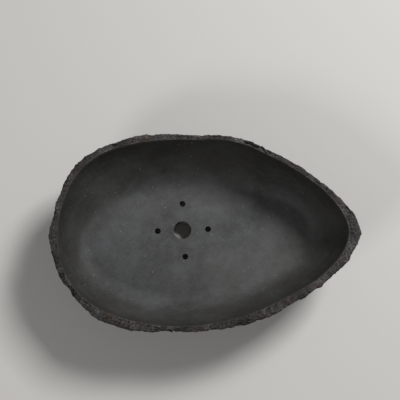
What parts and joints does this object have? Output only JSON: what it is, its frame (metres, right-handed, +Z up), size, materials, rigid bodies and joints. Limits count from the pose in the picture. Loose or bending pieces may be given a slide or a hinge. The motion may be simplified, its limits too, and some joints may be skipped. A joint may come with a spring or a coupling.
{
  "type": "bonsai pot",
  "caption": "Shallow egg-shaped hand-built stoneware bonsai pot with a torn stone-like rim, a drain hole, wire holes and low feet.",
  "frame": {"origin": "middle of the pot's bounding box, on the plane that the feet stand on", "axes": "+X to the narrow tip, +Y to the back, +Z up out of the mouth"},
  "size_m": [0.2982, 0.1918, 0.075],
  "materials": {
    "stoneware_smooth": "unglazed charcoal stoneware, sponged smooth, matt, fine dark grit and sparse pale specks",
    "stoneware_wall": "unglazed charcoal stoneware, smooth inside and torn rough outside, matt",
    "stoneware_torn": "unglazed charcoal stoneware, torn edge with pits and ridges, brownish where it is roughest",
    "stoneware_foot": "unglazed charcoal stoneware, cut and rubbed flat underneath, matt"
  },
  "bodies": {
    "root": {"floor_slab": "stoneware_smooth", "corner_coil": "stoneware_smooth", "wall_slab_tip": "stoneware_wall", "wall_slab_back": "stoneware_wall", "wall_slab_blunt": "stoneware_wall", "wall_slab_front": "stoneware_wall", "rim_strip_1": "stoneware_torn", "rim_strip_2": "stoneware_torn", "rim_strip_3": "stoneware_torn", "rim_strip_4": "stoneware_torn", "rim_strip_5": "stoneware_torn", "rim_strip_6": "stoneware_torn", "rim_strip_7": "stoneware_torn", "rim_strip_8": "stoneware_torn", "rim_strip_9": "stoneware_torn", "foot_back_tip": "stoneware_foot", "foot_back_blunt": "stoneware_foot", "foot_front_blunt": "stoneware_foot", "foot_front_tip": "stoneware_foot"}
  },
  "joints": []
}
